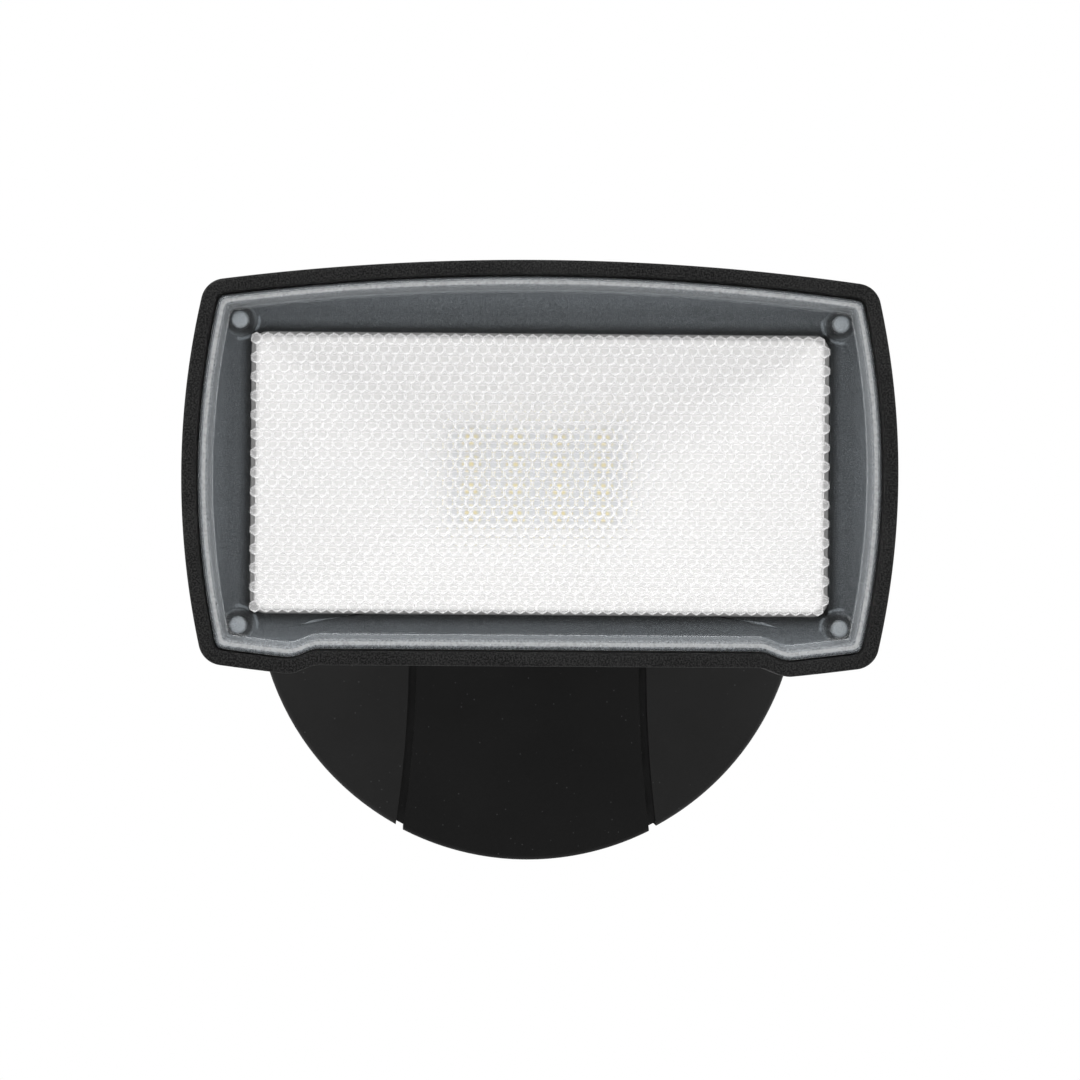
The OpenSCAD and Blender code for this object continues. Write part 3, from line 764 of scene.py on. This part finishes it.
def cooling_fins():
    """The upright fins on both sides of the knuckle."""
    fin_back = FLOOR_BACK - 8.4 * MM
    half_h = 28.65 * MM
    taper = 4 * MM
    half_t = MM
    first, pitch, count = 18.1 * MM, 9 * MM, 4
    shape = [(-fin_back, -half_h + taper), (-fin_back, half_h - taper),
             (-FLOOR_FRONT, half_h), (-FLOOR_FRONT, -half_h)]
    for side, name in ((1, "fins_right"), (-1, "fins_left")):
        part = plate("fin", shape, -half_t, half_t, 0.45 * MM)
        middle = side * (first + (count - 1) * pitch / 2)
        fins = grid_of(name, part, count, 1, pitch, pitch, (middle, 0, HEAD_Z), COAT)
        finish_piece(fins, "head", "head_coat", ["head_housing"], COAT)


def hinge_ears():
    """The two ears on the head's back that hold the tilt bolt."""
    radius = 9 * MM
    flare = 2 * MM
    steps = 32
    shape = []
    for k in range(steps + 1):
        angle = math.radians(-90 + 180 * k / steps)
        shape.append((-TILT_OUT + radius * math.cos(angle), radius * math.sin(angle)))
    root = -FLOOR_BACK - 2 * MM
    shape += [(root, radius + flare), (root, -radius - flare)]
    shape = [(y, HEAD_Z + z) for y, z in shape]
    inner, outer = 8.7 * MM, 14.1 * MM
    for low, high, name in ((inner, outer, "ear_right"), (-outer, -inner, "ear_left")):
        ear = plate(name, shape, low, high, 0.7 * MM)
        finish_piece(ear, "head", "head_coat", ["head_housing"], COAT)


PITCH_X = 2.464 * MM
PITCH_Z = PITCH_X * math.sqrt(3) / 2
DIMPLE_COLUMNS = 52
DIMPLE_ROWS = 29
PANE_STEP = 0.8 * MM


def edge_glow(across):
    """How much painted highlight the clear bead gets, by the distance from its outer face in millimetres."""
    stops = ((0, 0.18), (0.7, 0.22), (1.0, 0.9), (1.5, 0.8), (1.9, 0.32), (2.9, 0.2), (3.4, 0))
    for (low, first), (high, second) in zip(stops, stops[1:]):
        if low <= across <= high:
            return first + (second - first) * (across - low) / (high - low)
    return 0.0


def lens():
    """The clear cover: a rounded bead round its edge, a smooth border, a seat for the dimpled
    pane and a skirt behind."""
    inset = LENS_INSET
    section = rounded_corners([
        (inset + 2 * MM, SKIRT_BACK, 0), (inset, SKIRT_BACK, 0.2 * MM),
        (inset, BEAD_TOP, 0.9 * MM), (inset + 1.5 * MM, BEAD_TOP, 0),
        (inset + 2.0 * MM, BEAD_TOP - 0.1 * MM, 0.6 * MM),
        (inset + 3.3 * MM, LENS_FRONT, 0.9 * MM), (inset + 6.5 * MM, LENS_FRONT, 0)], 6)
    rings = [(head_ring(inset + 2 * MM, LENS_BACK), 0.0)]
    for across, out in section:
        front = out > LENS_FRONT - 0.01 * MM
        # Each ring's share of the bead's painted highlight.
        rings.append((head_ring(across, out), edge_glow((across - inset) / MM) if front else 0.1))
    half_w, half_h = field_size()
    for out in (LENS_FRONT, LENS_FRONT - PANE_STEP):
        rings.append((box_ring_like_head(half_w, half_h, 0.8 * MM, out), 0.0))
    bm = bmesh.new()
    bead_highlight = bm.verts.layers.float.new(BEAD_HIGHLIGHT)
    loops = loft(bm, [ring for ring, _ in rings], cap_first=True, cap_last=True)
    for loop, (_, value) in zip(loops, rings):
        for vert in loop:
            vert[bead_highlight] = value
    return finish_piece(from_bmesh("lens_cover", bm, 50), "head", "lens_clear", ["lens"],
                        LENS_CLEAR)


def field_size():
    """Half the size of the seat that the dimpled pane lies in."""
    half_w = (DIMPLE_COLUMNS / 2 + 0.25) * PITCH_X + 0.2 * MM
    half_h = (DIMPLE_ROWS - 1) / 2 * PITCH_Z + PITCH_X / math.sqrt(3) + 0.15 * MM
    return half_w, half_h


def dimple_rise(radius):
    """How far a hollow's side has risen above its middle: shallow at first and steep at last."""
    across = 2 * 9 * MM
    r = radius / MM
    return radius**2 / across + 0.035 * r**6 * MM


def dimple_cell():
    """One six-sided cell of the pane's front: a hollow that ends in a ridge painted pale white.

    Each of its rings has a share of the cell's reach, a roundness and how much pale white is painted on it."""
    side = PITCH_X / 2
    corner = PITCH_X / math.sqrt(3)
    deepest = dimple_rise(corner)
    steps = ((1.0, 0.0, 1.0), (0.82, 0.7, 0.85), (0.58, 1.0, 0.1), (0.30, 1.0, 0.0))
    rings = []
    for share, roundness, _ in steps:
        ring = []
        for k in range(12):
            angle = math.radians(30 * k)
            reach = corner if k % 2 else side
            r = share * (reach + (side - reach) * roundness)
            ring.append(Vector((r * math.cos(angle), deepest - dimple_rise(r),
                                r * math.sin(angle))))
        rings.append(ring)
    bm = bmesh.new()
    ridge = bm.verts.layers.float.new(RIDGE)
    loops = loft(bm, rings)
    for loop, (_, _, pale_paint) in zip(loops, steps):
        for vert in loop:
            vert[ridge] = pale_paint
    tip = bm.verts.new((0, deepest, 0))
    for i in range(12):
        bm.faces.new((loops[-1][i], loops[-1][(i + 1) % 12], tip))
    return from_bmesh("dimple", bm, 80)


def dimples():
    """The dimpled pane over the reflector: rows of cells, welded and closed behind."""
    field = grid_of("cells", dimple_cell(), DIMPLE_COLUMNS, DIMPLE_ROWS, PITCH_X, PITCH_Z,
                    (0, -LENS_FRONT, HEAD_Z), LENS_CLEAR, row_shift=PITCH_X / 2)
    bm = bmesh.new()
    bm.from_mesh(field.data)
    bpy.data.objects.remove(field)
    bmesh.ops.remove_doubles(bm, verts=bm.verts, dist=0.01 * MM)
    rim = [edge for edge in bm.edges if edge.is_boundary]
    walls = bmesh.ops.extrude_edge_only(bm, edges=rim)["geom"]
    new_verts = [part for part in walls if isinstance(part, bmesh.types.BMVert)]
    bmesh.ops.translate(bm, verts=new_verts, vec=(0, PANE_STEP + 0.05 * MM, 0))
    back = [edge for edge in bm.edges if edge.is_boundary]
    bmesh.ops.edgeloop_fill(bm, edges=back)
    return finish_piece(from_bmesh("lens_pane", bm, 30), "head", "lens_clear", [], LENS_CLEAR)


def lens_posts():
    """Clear posts behind the lens's corners that take its screws."""
    bm = bmesh.new()
    outs = (LEDGE_OUT + 0.1 * MM, LENS_BACK + 0.05 * MM)
    loft(bm, [circle(3.65 * MM, out, 40) for out in outs], cap_first=True, cap_last=True)
    part = from_bmesh("post", bm)
    posts = grid_of("lens_posts", part, 2, 2, 2 * POST_X, 2 * POST_Z, (0, 0, HEAD_Z),
                    LENS_CLEAR)
    return finish_piece(posts, "head", "lens_clear", [], LENS_CLEAR)


def reflector():
    """The white tapered box between the LEDs and the lens."""
    half_w, half_h = OPTIC_HALF_W, OPTIC_HALF_H
    wall = MM
    small_w, small_h = 20.5 * MM, 11.4 * MM
    rings = [
        box_ring(small_w + wall, small_h + wall, 2.5 * MM, BOARD_FRONT),
        box_ring(half_w, half_h, 3.5 * MM, REFLECTOR_FRONT - MM),
        box_ring(half_w, half_h, 3.5 * MM, REFLECTOR_FRONT - 0.2 * MM),
        box_ring(half_w - 0.2 * MM, half_h - 0.2 * MM, 3.3 * MM, REFLECTOR_FRONT),
        box_ring(half_w - wall + 0.2 * MM, half_h - wall + 0.2 * MM, 2.7 * MM, REFLECTOR_FRONT),
        box_ring(half_w - wall, half_h - wall, 2.5 * MM, REFLECTOR_FRONT - 0.3 * MM),
        box_ring(small_w, small_h, 1.5 * MM, BOARD_FRONT + 0.8 * MM),
        box_ring(small_w, small_h, 1.5 * MM, BOARD_FRONT),
    ]
    bm = bmesh.new()
    loft(bm, rings, closed=True)
    return finish_piece(from_bmesh("reflector_box", bm, 20), "head", "reflector_white",
                        ["reflector"], REFLECTOR_WHITE)


def block(name, w, h, depth, corner, bevel):
    """A small block that stands out from y = 0 towards -Y, with rounded edges."""
    bm = bmesh.new()
    rings = [[Vector((v.x, -out, v.z - HEAD_Z)) for v in box_ring(w / 2 - cut, h / 2 - cut,
                                                                  corner, 0, 3)]
             for out, cut in ((0, 0), (depth - bevel, 0), (depth, bevel))]
    loft(bm, rings, cap_first=True, cap_last=True)
    return from_bmesh(name, bm)


def leds():
    """Sixteen LED packages: a white body with a yellow window."""
    centre = (0, -BOARD_FRONT, HEAD_Z)
    body = block("package", 3.5 * MM, 2.8 * MM, 0.62 * MM, 0.25 * MM, 0.08 * MM)
    bodies = grid_of("led_packages", body, LED_COUNT, LED_COUNT, LED_PITCH_X, LED_PITCH_Z,
                     centre, PACKAGE)
    finish_piece(bodies, "head", "led_phosphor", ["led_chips"], PACKAGE)
    window = block("window", 3.2 * MM, 2.5 * MM, 0.70 * MM, 0.6 * MM, 0.12 * MM)
    windows = grid_of("led_windows", window, LED_COUNT, LED_COUNT, LED_PITCH_X, LED_PITCH_Z,
                      centre, PHOSPHOR)
    finish_piece(windows, "head", "led_phosphor", [], PHOSPHOR)


head_shell()
cooling_fins()
hinge_ears()
lens()
dimples()
lens_posts()
reflector()
leds()


# ---- The base ----

EDGE_OUT = 30 * MM
CROWN = 8 * MM
CROWN_R = (BASE_R**2 + CROWN**2) / (2 * CROWN)
FILLET = 2 * MM
SPINE_PROUD = 0.3 * MM
MARGIN = 0.02 * MM
WELD = 0.004 * MM


def crown_out(radius, grow):
    """How far the crowned front stands out at a radius, for a form made bigger by grow."""
    return EDGE_OUT + CROWN - CROWN_R + math.sqrt((CROWN_R + grow)**2 - radius**2)


def filleted_form(grow, steps=288):
    """The round form of the base, made bigger by grow, with a fillet round its front edge."""
    radius = BASE_R + grow
    flat = radius - FILLET
    crown_steps, fillet_steps = 24, 9
    profile = []
    for k in range(1, crown_steps + 1):
        profile.append((flat * k / crown_steps, crown_out(flat * k / crown_steps, grow)))
    edge_out = profile[-1][1]
    for k in range(1, fillet_steps + 1):
        angle = math.radians(90 * k / fillet_steps)
        profile.append((flat + FILLET * math.sin(angle),
                        edge_out - FILLET * (1 - math.cos(angle))))
    profile.append((radius, -MM))
    bm = bmesh.new()
    loft(bm, [circle(r, out, steps) for r, out in profile], cap_first=True, cap_last=True)
    return from_bmesh("filleted_form", bm)


def kept_inside(piece, limit):
    """Cuts away what stands out of the limit, an object that is used up."""
    modifier = piece.modifiers.new("cut", "BOOLEAN")
    modifier.operation = "INTERSECT"
    modifier.object = limit
    modifier.solver = "EXACT"
    baked(piece)
    bpy.data.objects.remove(limit)
    return piece


def welded_copy(node):
    """A copy of a CAD node whose triangles are joined into one skin."""
    piece = new_object(node + "_finished", frame["nodes"][node].data.copy())
    bm = bmesh.new()
    bm.from_mesh(piece.data)
    bmesh.ops.remove_doubles(bm, verts=bm.verts, dist=WELD / 2)
    bmesh.ops.dissolve_limit(bm, angle_limit=math.radians(0.3), verts=bm.verts, edges=bm.edges)
    bm.to_mesh(piece.data)
    bm.free()
    return piece


def soften(piece, width, segments=2, angle=40):
    """Rounds the sharp edges of a piece."""
    bm = bmesh.new()
    bm.from_mesh(piece.data)
    bmesh.ops.remove_doubles(bm, verts=bm.verts, dist=WELD)
    bmesh.ops.dissolve_degenerate(bm, edges=bm.edges, dist=WELD)
    for face in bm.faces:
        face.smooth = True
    bm.to_mesh(piece.data)
    bm.free()
    modifier = piece.modifiers.new("round_edges", "BEVEL")
    modifier.width = width
    modifier.segments = segments
    modifier.limit_method = "ANGLE"
    modifier.angle_limit = math.radians(angle)
    modifier.harden_normals = True
    baked(piece)
    return piece


def exact_normals(piece, grow):
    """Gives the crowned front and the round side their true normals, so that they shade evenly."""
    near = 0.06 * MM
    facing = 0.995
    mesh = piece.data
    middle = Vector((0, CROWN_R - EDGE_OUT - CROWN, 0))
    normals = [corner.vector.copy() for corner in mesh.corner_normals]
    for face in mesh.polygons:
        for index in face.loop_indices:
            point = mesh.vertices[mesh.loops[index].vertex_index].co
            for arm, reach in ((point - middle, CROWN_R + grow),
                               (Vector((point.x, 0, point.z)), BASE_R + grow)):
                normal = arm.normalized()
                if abs(arm.length - reach) < near and normal.dot(face.normal) > facing:
                    normals[index] = normal
    mesh.normals_split_custom_set(normals)


def base_cover(node, grow, width, slot, material):
    """The canopy's shell or its middle panel, with the big fillet and with softened edges."""
    piece = kept_inside(welded_copy(node), filleted_form(grow + MARGIN))
    soften(piece, width)
    exact_normals(piece, grow)
    return finish_piece(piece, "base", slot, [node], material)


base_cover("base_shell", 0.0, 0.4 * MM, "base_plastic", SHELL_PLASTIC)
base_cover("spine_cover", SPINE_PROUD, 0.3 * MM, "spine_plastic", SPINE_PLASTIC_SHADED)


# ---- CAD nodes that keep their shape, with their edges rounded ----

def rounded_node(node, body, slot, material, width):
    """A copy of a CAD node with rounded edges, which stands for it."""
    piece = soften(welded_copy(node), width, 3, 35)
    return finish_piece(piece, body, slot, [node], material)


BODY_OF = {node: body for body, nodes in frame["record"]["behaviour"]["bodies"].items()
           for node in nodes}
SLOT_OF = {entry["node"]: entry["material_slot"] for entry in frame["record"]["subparts"]}

# Each node's material, and how wide its rounding is in millimetres
ROUNDED = {
    "neck_arm": (COAT, 0.6), "knuckle_yoke": (COAT, 0.5), "pan_bolt": (ZINC, 0.35),
    "pan_nut": (ZINC, 0.35), "tilt_bolt": (ZINC, 0.35), "tilt_nut": (ZINC, 0.35),
    "mounting_strap": (STRAP_STEEL, 0.25), "driver_case": (DRIVER, 0.5),
    "terminal_block": (CREAM, 0.3), "lens_screws": (PALE_ZINC, 0.25),
    "base_gasket": (SEAL, 0.4), "breather_plug": (SEAL, 0.4), "head_grommet": (SEAL, 0.3),
    "canopy_screws": (ZINC, 0.25), "driver_lid": (DRIVER, 0.3),
}
for node, (material, width) in ROUNDED.items():
    rounded_node(node, BODY_OF[node], SLOT_OF[node], material, width * MM)

# CAD nodes that are shown as they are
KEPT = {
    "neck_screws": ZINC, "base_grommet": SEAL, "screw_plugs": SEAL, "ground_screw": GREEN_PAINT,
    "driver_board": CIRCUIT, "driver_screws": ZINC, "pan_washers": BRASS, "tilt_washers": BRASS,
    "lens_gasket": SEAL, "led_board": BOARD_MASK, "thermal_pad": THERMAL, "board_screws": ZINC,
}
for node, material in KEPT.items():
    mesh = frame["nodes"][node].data
    mesh.materials.clear()
    mesh.materials.append(material)


# ---- Stage, light and camera ----

def stage_material():
    """Pale grey, faintly clouded floor."""
    g = Graph("floor_pale")
    grain = g.noise(40, 2.0, 0.5)
    return g.finish(g.principled(Base_Color=g.mix(grain, (0.80, 0.80, 0.80), (0.84, 0.84, 0.84)),
                                 Roughness=0.8))


def floor():
    """A plain square floor well below the light."""
    bm = bmesh.new()
    half, level, forward = 0.45, -0.24, 0.05
    corners = [(-half, -half), (half, -half), (half, half), (-half, half)]
    bm.faces.new([bm.verts.new((x, y - forward, level)) for x, y in corners])
    plane = from_bmesh("floor", bm)
    plane.data.materials.append(stage_material())


def soft_light(name, place, aim, size, power):
    """A broad white lamp that looks at a point."""
    data = bpy.data.lights.new(name, "AREA")
    data.shape = "RECTANGLE"
    data.size, data.size_y = size
    data.energy = power
    lamp = bpy.data.objects.new(name, data)
    bpy.context.scene.collection.objects.link(lamp)
    lamp.location = place
    lamp.rotation_euler = (Vector(aim) - Vector(place)).to_track_quat("-Z", "Y").to_euler()


def white_world():
    """A white surround: pure white to the camera. As a light it is dim on the camera's side."""
    dimmest = 0.06
    world = bpy.data.worlds.new("studio")
    bpy.context.scene.world = world
    world.use_nodes = True
    tree = world.node_tree
    tree.nodes.clear()
    path = tree.nodes.new("ShaderNodeLightPath")
    aim = tree.nodes.new("ShaderNodeTexCoord")
    parts = tree.nodes.new("ShaderNodeSeparateXYZ")
    fade = tree.nodes.new("ShaderNodeMapRange")
    fade.inputs["From Min"].default_value = -0.95
    fade.inputs["From Max"].default_value = 0.0
    fade.inputs["To Min"].default_value = dimmest
    fade.inputs["To Max"].default_value = 1.0
    shown = tree.nodes.new("ShaderNodeBackground")
    shown.inputs["Color"].default_value = (1.0, 1.0, 1.0, 1.0)
    lit = tree.nodes.new("ShaderNodeBackground")
    lit.inputs["Color"].default_value = (1.0, 1.0, 1.0, 1.0)
    mixed = tree.nodes.new("ShaderNodeMixShader")
    end = tree.nodes.new("ShaderNodeOutputWorld")
    tree.links.new(aim.outputs["Generated"], parts.inputs[0])
    tree.links.new(parts.outputs["Y"], fade.inputs["Value"])
    tree.links.new(fade.outputs[0], lit.inputs["Strength"])
    tree.links.new(path.outputs["Is Camera Ray"], mixed.inputs["Fac"])
    tree.links.new(lit.outputs[0], mixed.inputs[1])
    tree.links.new(shown.outputs[0], mixed.inputs[2])
    tree.links.new(mixed.outputs[0], end.inputs["Surface"])


def camera():
    """A long lens almost straight in front, a touch to the left and below."""
    distance = 1.2
    below_head = 14.7 * MM
    azimuth, elevation, roll = math.radians(-1.4), math.radians(-0.6), math.radians(0.4)
    frame_width = 0.2406
    target = Vector((0.0, -RIM_FRONT, HEAD_Z - below_head))
    away = Vector((math.sin(azimuth) * math.cos(elevation),
                   -math.cos(azimuth) * math.cos(elevation), math.sin(elevation)))
    data = bpy.data.cameras.new("camera")
    data.sensor_width = 36.0
    data.lens = data.sensor_width * distance / frame_width
    data.clip_start = 0.05
    holder = bpy.data.objects.new("camera", data)
    bpy.context.scene.collection.objects.link(holder)
    holder.location = target + away * distance
    look = (target - holder.location).to_track_quat("-Z", "Y").to_matrix()
    holder.rotation_euler = (look @ Matrix.Rotation(roll, 3, "Z")).to_euler()
    bpy.context.scene.camera = holder


floor()
white_world()
soft_light("key_above", (-0.2, -0.85, 0.9), (0, -0.1, 0), (1.0, 0.5), 7.2)
soft_light("fill_left", (-1.0, -0.85, 0.1), (0, -0.1, 0), (0.5, 0.9), 5.0)
soft_light("fill_right", (1.0, -0.85, 0.1), (0, -0.1, 0), (0.5, 0.9), 4.6)
soft_light("fill_below", (0.0, -1.0, -0.14), (0, -0.1, 0.03), (1.2, 0.12), 1.2)
camera()
bpy.context.scene.view_settings.view_transform = "Standard"
